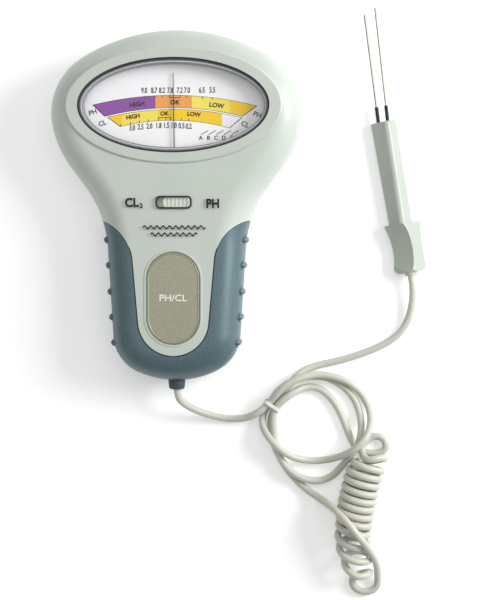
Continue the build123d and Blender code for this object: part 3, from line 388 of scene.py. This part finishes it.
flat_piece("band_lower_end", [band(LOWER, 23.2, 32.6, 0, 5.8, BAND_EDGE)], OVER_Z, paper_ink)

# Ticks hang inside the upper band and stand inside the lower one, each with one bracket.
LINE, TICK = 0.32, 1.2
UPPER_BRACKET_Y, LOWER_BRACKET_Y = 35.8, 26.1
marks = []
for x in (-14.8, -9.6, -6.0, 5.9, 13.6, 18.5):
    top = arc_y(UPPER[0], x)
    marks.append(stroke((x, top), (x, top - TICK), LINE))
for x in (-2.5, 2.6):
    marks.append(stroke((x, arc_y(UPPER[0], x)), (x, UPPER_BRACKET_Y), LINE))
marks.append(stroke((-2.6, UPPER_BRACKET_Y), (2.7, UPPER_BRACKET_Y), LINE))
for x in (-26.6, -21.7, -17.4, -12.8, 3.3, 6.9):
    foot = arc_y(LOWER[1], x)
    marks.append(stroke((x, foot), (x, foot + TICK), LINE))
for x in (-8.0, -4.3, -1.9):
    marks.append(stroke((x, arc_y(LOWER[1], x)), (x, LOWER_BRACKET_Y), LINE))
marks.append(stroke((-8.1, LOWER_BRACKET_Y), (-1.8, LOWER_BRACKET_Y), LINE))
SCALE_LETTERS = "ABCDE"
SCALE_X, SCALE_PITCH = 13.0, 3.75
SLASH_FOOT, SLASH_TOP, SLASH_RUN, SLASH_LINE = 17.8, 19.7, 3.4, 0.3
for index in range(len(SCALE_LETTERS)):
    x = SCALE_X + index * SCALE_PITCH
    marks.append(stroke((x, SLASH_FOOT), (x + SLASH_RUN, SLASH_TOP), SLASH_LINE))
flat_piece("dial_marks", marks, TEXT_Z, ink)

NUMBER_SIZE, NUMBER_WIDTH, NUMBER_BOLD = 3.8, 0.64, 0.06


def number(name, text, x, y):
    """A narrow number on the dial."""
    lettering(name + text.replace(".", "_"), text, (x, y, TEXT_Z), NUMBER_SIZE, ink,
              width=NUMBER_WIDTH, bold=NUMBER_BOLD)


UPPER_NUMBERS_Y = 39.3
UPPER_NUMBERS = ((-14.9, "9.0"), (-10.1, "8.7"), (-6.2, "8.2"), (-2.2, "7.8"), (2.5, "7.2"),
                 (6.1, "7.0"), (13.4, "6.5"), (18.5, "5.5"))
for x, text in UPPER_NUMBERS:
    number("number_", text, x, UPPER_NUMBERS_Y)
# The lower numbers stand on a shallow curve that is highest at its middle.
LOWER_NUMBERS_Y, LOWER_NUMBERS_MID, LOWER_NUMBERS_FALL = 22.2, -4, 0.004
LOWER_NUMBERS = ((-20.9, "3.0"), (-16.7, "2.5"), (-12.4, "2.0"), (-7.9, "1.8"), (-4.1, "1.5"),
                 (-0.4, "1.0"), (3.4, "0.5"), (6.9, "0.2"))
for x, text in LOWER_NUMBERS:
    y = LOWER_NUMBERS_Y - (x - LOWER_NUMBERS_MID) ** 2 * LOWER_NUMBERS_FALL
    number("number_low_", text, x, y)
UPPER_WORD_DROP, LOWER_WORD_RISE = 0.5, 0.6
for x, text, turn in ((-18.5, "HIGH", 6), (0.15, "OK", 0), (20.5, "LOW", -8)):
    y = band_middle(UPPER, x) - UPPER_WORD_DROP
    lettering("upper_word_" + text.lower(), text, (x, y, TEXT_Z), 3.1, ink, turn, bold=0.12)
for x, text, turn in ((-20.5, "HIGH", 9), (-5.0, "OK", 2), (9.4, "LOW", -5)):
    y = band_middle(LOWER, x) + LOWER_WORD_RISE
    lettering("lower_word_" + text.lower(), text, (x, y, TEXT_Z), 2.8, ink, turn, bold=0.12)
SIDE_WORDS = (("left_ph", "PH", -40.3, 28.8, 18), ("left_cl", "CL", -35.6, 23.4, 18),
              ("right_ph", "PH", 40.4, 27.2, -22), ("right_cl", "CL", 34.4, 22.6, -22))
for name, text, x, y, turn in SIDE_WORDS:
    lettering(name, text, (x, y, TEXT_Z), 3.3, ink, turn, bold=0.05)
LETTER_SHIFT, LETTER_Y = -0.2, 16.1
for index, text in enumerate(SCALE_LETTERS):
    x = SCALE_X + index * SCALE_PITCH
    lettering("scale_" + text, text, (x + LETTER_SHIFT, LETTER_Y, TEXT_Z), 2.8, ink, bold=0.05)

# ---------------------------------------------------------------- printed front
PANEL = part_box("front_shell")[1][2] / MM
print_ink = flat_ink("panel_ink", (0.02, 0.02, 0.025), 0.45)
PRINT_Z = PANEL + 0.02
WAVE_PITCH, WAVE_SAMPLES = 3.05, 96


def wave_line(name, left, right, y, height, width):
    """A printed wavy rule, in place of a line of words."""
    top = []
    foot = []
    for step in range(WAVE_SAMPLES + 1):
        x = left + (right - left) * step / WAVE_SAMPLES
        rise = height * sin(2 * pi * (x - left) / WAVE_PITCH)
        top.append((x, y + rise + width / 2))
        foot.append((x, y + rise - width / 2))
    quads = [[top[i], foot[i], foot[i + 1], top[i + 1]] for i in range(WAVE_SAMPLES)]
    flat_piece(name, quads, PRINT_Z, print_ink)


wave_line("panel_wave_1", -14.6, 15.9, -27.6, 0.7, 0.85)
wave_line("panel_wave_2", -10.9, 11.9, -31.0, 0.7, 0.85)
PANEL_WORDS = (("panel_cl", "CL", -20.1, -15.7, 5.9, 0.95, 0.2),
               ("panel_2", "2", -15.5, -17.2, 3.2, 1.0, 0.12),
               ("panel_ph", "PH", 19.4, -16.3, 6.2, 0.86, 0.2))
for name, text, x, y, size, width, bold in PANEL_WORDS:
    lettering(name, text, (x, y, PRINT_Z), size, print_ink, 0, width, bold)


# ---------------------------------------------------------------- fine mouldings, and lines of painted light and shade
def stadium(half_width, half_length, parts=24):
    """Points and outward directions round a slot shape that runs along Y."""
    straight = half_length - half_width
    points = []
    for end in (1, -1):
        for step in range(parts + 1):
            angle = pi * step / parts if end == 1 else pi + pi * step / parts
            outward = Vector((cos(angle), sin(angle), 0))
            points.append((Vector((0, end * straight, 0)) + outward * half_width, outward))
    return points


def rail(name, points, centre, profile, material):
    """A low moulding: one profile carried round a closed line."""
    mesh = bpy.data.meshes.new(name)
    form = bmesh.new()
    rings = []
    for point, outward in points:
        place = Vector(centre) + point
        ring = [form.verts.new((place + outward * side + UP * rise) * MM) for side, rise in profile]
        rings.append(ring)
    count = len(profile)
    for index, ring in enumerate(rings):
        following = rings[(index + 1) % len(rings)]
        for k in range(count):
            after = (k + 1) % count
            form.faces.new((ring[k], following[k], following[after], ring[after]))
    bmesh.ops.recalc_face_normals(form, faces=form.faces)
    for face in form.faces:
        face.smooth = True
    form.to_mesh(mesh)
    form.free()
    add_piece(name, mesh, material)


# Two fine rings on the lens: a light grey ring that is a painted highlight on its bevel, and a dark
# ring inside it that is a painted reflection of the bevel.
LENS_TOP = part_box("window_lens")[1][2] / MM
LENS_MID = (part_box("window_lens")[0][1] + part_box("window_lens")[1][1]) / 2 / MM


def oval(half_x, half_y, parts=120):
    """Points and outward directions round an ellipse."""
    points = []
    for step in range(parts):
        angle = 2 * pi * step / parts
        outward = Vector((cos(angle) / half_x, sin(angle) / half_y, 0)).normalized()
        points.append((Vector((half_x * cos(angle), half_y * sin(angle), 0)), outward))
    return points


LENS_HALF_X, LENS_HALF_Y = 45.0, 21.2
LENS_REFLECTION_INSET = 0.5
BEVEL = [(-0.22, -0.03), (-0.12, 0.05), (0.12, 0.05), (0.22, -0.03)]
# Light grey paint that stands in for the highlight on the lens bevel.
lens_highlight_paint = moulded("lens_bevel_painted_highlight", (0.72, 0.74, 0.74), 0.2)
rail("lens_bevel_painted_highlight", oval(LENS_HALF_X, LENS_HALF_Y), (0, LENS_MID, LENS_TOP), BEVEL, lens_highlight_paint)
# The inner ring's dark grey is a painted reflection of the bevel.
rail("lens_line_painted_reflection", oval(LENS_HALF_X - LENS_REFLECTION_INSET, LENS_HALF_Y - LENS_REFLECTION_INSET),
     (0, LENS_MID, LENS_TOP), BEVEL, materials["surround"])

BADGE_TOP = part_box("badge")[1][2] / MM
BADGE_Y = -62.0
BADGE_HALF_X, BADGE_HALF_Y = 13.05, 22.5
BEAD_INSET = 0.75
white_ink = flat_ink("ink_white", (0.85, 0.85, 0.82), 0.5)
lettering("badge_text", "PH/CL", (-0.1, BADGE_Y, BADGE_TOP + 0.02), 4.5, white_ink,
          width=1.12, bold=0.05)
BEAD = [(-0.45, -0.05), (-0.28, 0.14), (0, 0.22), (0.28, 0.14), (0.45, -0.05)]
rail("badge_bead", stadium(BADGE_HALF_X - BEAD_INSET, BADGE_HALF_Y - BEAD_INSET),
     (0, BADGE_Y, BADGE_TOP), BEAD, materials["badge"])

GROOVE_SHADE_FROM = 16.0           # the painted shade is laid in the groove above this height only
GROOVE_SHADE_LIFT = 0.03
GROOVE_SHADE_OVERLAP = 0.04        # how far each length of the strip runs past its ends
WELD = 0.001
BOX_FACES = ((0, 1, 2, 3), (7, 6, 5, 4), (0, 4, 5, 1), (1, 5, 6, 2), (2, 6, 7, 3), (3, 7, 4, 0))


def groove_shade_strip(name, node, material, width, depth):
    """A dark strip of painted shade in the groove along a skin's edge, where its face drops into the
    groove.
    """
    skin = bmesh.new()
    skin.from_mesh(bpy.data.objects[node].data)
    bmesh.ops.remove_doubles(skin, verts=skin.verts, dist=WELD * MM)
    strip = bmesh.new()
    for edge in skin.edges:
        if len(edge.link_faces) != 2:
            continue
        face, wall = sorted(edge.link_faces, key=lambda item: -abs(item.normal.z))
        low = min(vert.co.z for vert in edge.verts)
        if abs(wall.normal.z) > 0.02 or face.normal.z < 0.05 or low < GROOVE_SHADE_FROM * MM:
            continue
        if face.normal.dot(wall.normal) > 0.5:
            continue
        out = wall.normal * width * MM
        down = face.normal * -depth * MM
        start, end = (vert.co + face.normal * GROOVE_SHADE_LIFT * MM for vert in edge.verts)
        reach = (end - start).normalized() * GROOVE_SHADE_OVERLAP * MM
        start, end = start - reach, end + reach
        corners = [strip.verts.new(place) for place in
                   (start, start + out, start + out + down, start + down,
                    end, end + out, end + out + down, end + down)]
        for sides in BOX_FACES:
            strip.faces.new([corners[k] for k in sides])
    bmesh.ops.recalc_face_normals(strip, faces=strip.faces)
    mesh = bpy.data.meshes.new(name)
    strip.to_mesh(mesh)
    strip.free()
    skin.free()
    add_piece(name, mesh, material)


# A strip of painted shade, in the gasket black, along the grip's groove.
groove_shade_strip("grip_groove_painted_shade", "front_grip", materials["gasket"], 0.6, 0.4)


def round_box(half_x, half_y, radius, parts=8):
    """Points and outward directions round a box with round corners."""
    points = []
    for corner, (side_x, side_y) in enumerate(((1, 1), (-1, 1), (-1, -1), (1, -1))):
        middle = Vector((side_x * (half_x - radius), side_y * (half_y - radius), 0))
        for step in range(parts + 1):
            angle = pi / 2 * (corner + step / parts)
            outward = Vector((cos(angle), sin(angle), 0))
            points.append((middle + outward * radius, outward))
    return points


# A black lip round the slider's slot; its black is painted shade, standing in for the shade on the
# slot's walls.
SLOT_HALF_X, SLOT_HALF_Y, SLOT_CORNER = 8.5, 2.8, 1.9
SLOT_X, SLOT_Y = 0.3, -15.4
SLOT_SHADE_PROFILE = [(0.35, -0.3), (0.35, 0.02), (0.1, 0.1), (-0.3, 0.02), (-0.5, -0.12), (-0.5, -0.3)]
# The lip's black is painted shade of the slot's walls.
rail("slot_lip_painted_shade", round_box(SLOT_HALF_X, SLOT_HALF_Y, SLOT_CORNER), (SLOT_X, SLOT_Y, PANEL),
     SLOT_SHADE_PROFILE, materials["gasket"])

# ---------------------------------------------------------------- free cord
CORD_D = 3.6
LEAD_ROUTE = [
    (0.0, -103.5, 14.5), (0.0, -111.0, 14.5), (3.4, -115.0, 11.4), (9.2, -118.6, 7.2),
    (16.2, -121.2, 3.8), (24.6, -123.0, 2.2), (33.0, -122.6, 3.8), (40.0, -119.4, 6.8),
    (45.1, -114.7, 6.5), (49.0, -110.0, 9.5), (53.8, -105.2, 10.1), (60.6, -101.8, 9.4),
    (68.6, -100.1, 6.4), (76.8, -101.0, 5.6), (84.9, -104.2, 4.0), (91.0, -109.6, 2.0),
    (94.8, -116.6, 3.0), (96.0, -124.0, 7.2), (93.8, -130.8, 12.2), (88.4, -136.6, 13.4),
    (81.2, -140.6, 8.9), (72.6, -143.2, 3.2), (64.2, -143.4, 3.2), (56.4, -141.4, 7.4),
    (50.4, -137.0, 9.8), (45.4, -132.0, 9.2), (41.8, -126.6, 5.4), (41.6, -120.4, 2.7),
    (45.1, -114.7, 2.5), (47.1, -111.7, 2.2),
]
LOOP_ROUTE = [
    (47.1, -111.7, 2.2), (49.1, -108.7, 1.9), (55.4, -104.1, 1.8), (63.2, -101.4, 1.8),
    (71.4, -101.2, 1.8), (79.4, -104.4, 1.8), (85.9, -110.0, 1.8), (89.8, -117.6, 2.0),
    (91.2, -125.6, 4.6), (90.2, -133.0, 8.8), (86.9, -138.8, 8.6), (81.6, -145.6, 2.5),
    (76.8, -151.2, 2.0), (69.8, -154.0, 2.6), (61.8, -152.4, 5.0), (55.0, -148.2, 5.8),
    (50.6, -142.0, 5.8), (48.3, -135.2, 5.7), (47.6, -128.4, 5.7), (47.3, -121.8, 6.2),
    (48.3, -116.9, 6.4), (50.75, -114.65, 6.9),
]
FEED_ROUTE = [
    (50.75, -114.65, 6.9), (53.0, -112.4, 7.8), (57.6, -109.0, 7.0), (62.8, -106.6, 3.2),
    (69.4, -106.8, 1.8), (76.0, -112.0, 1.8), (80.9, -120.0, 1.8), (84.0, -128.4, 1.8),
    (86.8, -135.0, 1.8), (91.0, -138.9, 1.8),
]
TAIL_ROUTE = [
    (99.3, -203.0, 2.6), (99.1, -197.4, 6.0), (98.4, -192.3, 10.6), (95.9, -187.4, 14.4),
    (93.2, -183.0, 17.8), (89.2, -178.0, 20.0), (85.2, -172.6, 20.4), (80.8, -168.4, 18.2),
    (76.6, -165.4, 12.8), (71.8, -162.8, 7.0), (66.2, -159.6, 3.0), (59.9, -154.8, 1.9),
    (54.0, -148.2, 1.8), (49.6, -141.2, 1.8), (46.8, -134.0, 1.8), (45.4, -127.4, 1.8),
    (46.0, -121.6, 1.9), (48.3, -116.9, 2.5), (49.75, -114.7, 2.95),
]
PROBE_ROUTE = [
    (49.75, -114.7, 2.95), (51.2, -112.5, 3.4), (54.0, -107.2, 5.6), (57.6, -102.2, 6.0),
    (62.8, -98.0, 4.0), (69.8, -95.6, 1.9), (78.0, -94.0, 1.8), (87.8, -91.2, 1.8),
    (98.8, -87.2, 1.8), (108.6, -81.6, 1.8), (114.0, -73.8, 2.4), (116.0, -65.2, 3.8),
    (116.4, -58.2, 5.0), (115.62, -52.03, 5.3), (114.77, -47.1, 5.3),
]

# Where each turn of the coil passes over the top, and how high its strand is there.
TURN_TOPS = [
    (96.3, -141.8, 13.2), (93.6, -145.7, 15.4), (91.9, -149.9, 15.9), (90.9, -153.9, 16.0),
    (89.9, -158.1, 16.0), (89.0, -162.1, 16.0), (88.2, -165.9, 16.0), (87.5, -169.8, 16.0),
    (87.1, -173.8, 16.0), (86.7, -178.3, 16.0), (86.0, -184.6, 16.0), (86.9, -191.4, 15.2),
    (89.6, -199.6, 13.4),
]
TURN_POINTS = 16
COIL_R = 8.0
END_SHARE = 0.89           # the coil's radius at its ends, as a share of COIL_R
BULGE = 0.35               # how far the middle turns stand to the right
SWELL_TURNS, TAPER_TURNS = 2, 4    # turns until the full radius, and from there to the end
LEAN, LEAN_TURNS = 3.4, 6  # how far a turn's foot stays behind its top, and turns until it does
SLUMP, SLUMP_FROM = 1.1, 8  # how much more each of the last, loose turns leans over
SKEW = -10                 # how far the turns are turned from straight across, in degrees
FIRST_SKEW, FIRST_SKEW_TURNS = 30, 0.8    # how much more at the start, and turns until it is gone


def coil_turns():
    """The tight turns: over each top from left to right, then back along the table."""
    points = []
    for number, (here, ahead) in enumerate(zip(TURN_TOPS, TURN_TOPS[1:])):
        for step in range(TURN_POINTS):
            turn = 2 * pi * step / TURN_POINTS
            so_far = number + step / TURN_POINTS
            lean = LEAN * min(so_far / LEAN_TURNS, 1) + SLUMP * max(so_far - SLUMP_FROM, 0)
            skew = radians(SKEW + FIRST_SKEW * max(1 - so_far / FIRST_SKEW_TURNS, 0))
            across = Vector((cos(skew), sin(skew), 0))
            to_end = len(TURN_TOPS) - 1 - so_far
            fullness = min(so_far / SWELL_TURNS, 1, to_end / TAPER_TURNS)
            radius = COIL_R * (END_SHARE + (1 - END_SHARE) * fullness)
            bulge = BULGE * fullness
            top = Vector(here).lerp(Vector(ahead), step / TURN_POINTS)
            middle = (top.z + CORD_D / 2) / 2
            reach = (top.z - CORD_D / 2) / 2
            foot = Vector((top.x, top.y, middle)) - across.cross(UP) * lean * (1 - cos(turn)) / 2
            points.append(foot + across * (bulge + radius * sin(turn)) + UP * reach * cos(turn))
    return points


# The coil begins with an open loop on the table, which climbs over its own start.
RING = [
    (95.4, -139.7, 1.9), (99.8, -139.5, 2.0), (102.9, -137.8, 2.3), (103.2, -134.2, 2.6),
    (101.0, -131.4, 2.6), (97.6, -130.8, 2.4), (94.2, -132.2, 2.8), (91.8, -134.8, 4.3),
    (91.1, -137.8, 6.4), (92.0, -140.5, 9.6), (94.0, -141.9, 12.4),
]
# The last turn comes down on the right, runs back under itself and turns into the tail.
LAST_TURN = [
    (89.5, -199.7, 13.3), (92.6, -199.4, 12.0), (95.0, -198.7, 9.4), (95.4, -198.3, 5.8),
    (94.0, -198.8, 2.8), (91.6, -199.6, 1.8), (88.8, -200.4, 1.8), (86.4, -202.4, 1.8),
    (86.6, -205.8, 1.8), (89.4, -208.2, 1.8), (92.8, -209.0, 1.8), (96.2, -208.4, 1.8),
    (98.8, -206.2, 1.9),
]

route = [Vector(point) for point in LEAD_ROUTE[:-1] + LOOP_ROUTE[1:-1] + FEED_ROUTE[1:] + RING]
route += coil_turns()
route += [Vector(point) for point in LAST_TURN + TAIL_ROUTE[:-1] + PROBE_ROUTE[1:]]


def spline_object(name, points, radius, material):
    """A round cord along one open NURBS spline."""
    data = bpy.data.curves.new(name, "CURVE")
    data.dimensions = "3D"
    spline = data.splines.new("NURBS")
    spline.points.add(len(points) - 1)
    for target, point in zip(spline.points, points):
        target.co = (*(point * MM), 1)
    spline.order_u = 3
    spline.use_endpoint_u = True
    spline.resolution_u = 6
    data.bevel_depth = radius * MM
    data.bevel_resolution = 6
    data.use_fill_caps = True
    data.materials.append(material)
    piece = bpy.data.objects.new(name, data)
    bpy.context.scene.collection.objects.link(piece)
    return piece


def spline_length(points, steps=12):
    """Length of the quadratic spline that these control points give."""
    total, last = 0.0, points[0]
    ends = [points[0]] + [(a + b) / 2 for a, b in zip(points[1:-2], points[2:-1])] + [points[-1]]
    for start, corner, end in zip(ends, points[1:-1], ends[1:]):
        for step in range(1, steps + 1):
            share = step / steps
            here = start * (1 - share) ** 2 + corner * (2 * share * (1 - share)) + end * share ** 2
            total += (here - last).length
            last = here
    return total


cord = spline_object("free_cord", route, CORD_D / 2, materials["cord"])
cord_length = spline_length(route)
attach(cord, "tester")
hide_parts("cord_lead", "cord_loop", "cord_feed", "cord_coil", "cord_tail", "cord_probe_run")
print("cord length mm", round(cord_length))
